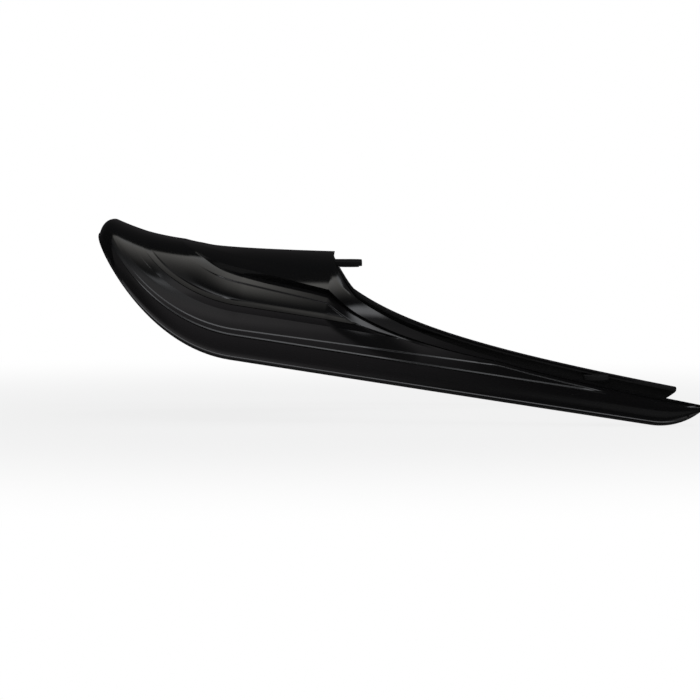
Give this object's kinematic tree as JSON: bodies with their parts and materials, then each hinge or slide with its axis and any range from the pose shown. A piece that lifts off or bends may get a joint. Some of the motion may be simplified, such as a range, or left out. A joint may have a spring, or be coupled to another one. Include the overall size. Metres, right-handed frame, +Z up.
{
  "type": "motorcycle seat cowl",
  "caption": "One-piece moulded tail and seat cowl with a ducktail lip, a crowned deck and two long side arms, bolted from above under the seat.",
  "frame": {"origin": "centre of the two deck bolt holes, on the top face of the bolt plate that the seat covers", "axes": "+X forward along the motorcycle, +Y to its left, +Z up; the cowl is drawn as mounted, with its bottom edge sloping down 8.65 degrees to the front"},
  "size_m": [0.5229, 0.2578, 0.1749],
  "materials": {
    "gloss_black": "black painted moulding with a clear gloss coat"
  },
  "bodies": {
    "root": {"cowl_shell": "gloss_black"}
  },
  "joints": []
}
